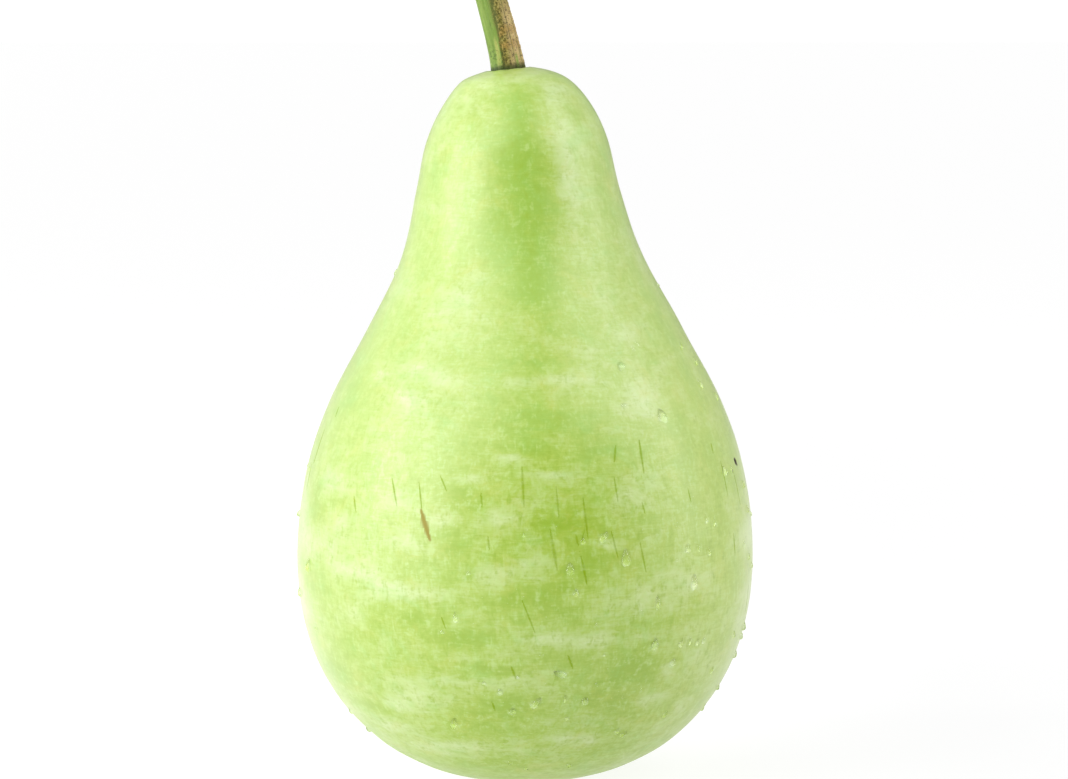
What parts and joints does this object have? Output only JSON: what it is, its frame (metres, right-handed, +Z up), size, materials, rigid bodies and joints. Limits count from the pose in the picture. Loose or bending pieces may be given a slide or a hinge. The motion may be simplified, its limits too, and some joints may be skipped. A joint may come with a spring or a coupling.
{
  "type": "bottle gourd",
  "caption": "Short pear-shaped green bottle gourd: broad round belly, thick blunt neck and the cut stalk on its crown, standing on its blossom end.",
  "frame": {"origin": "on the surface that the gourd stands on, under the middle of its belly", "axes": "+Z up along the fruit from blossom end to stalk, +X to the side away from which the stalk leans (the stalk leans towards -X)"},
  "size_m": [0.129, 0.129, 0.2445],
  "materials": {
    "skin": "satin",
    "stalk": "matte"
  },
  "bodies": {
    "root": {"fruit": "skin", "stalk": "stalk"}
  },
  "joints": []
}
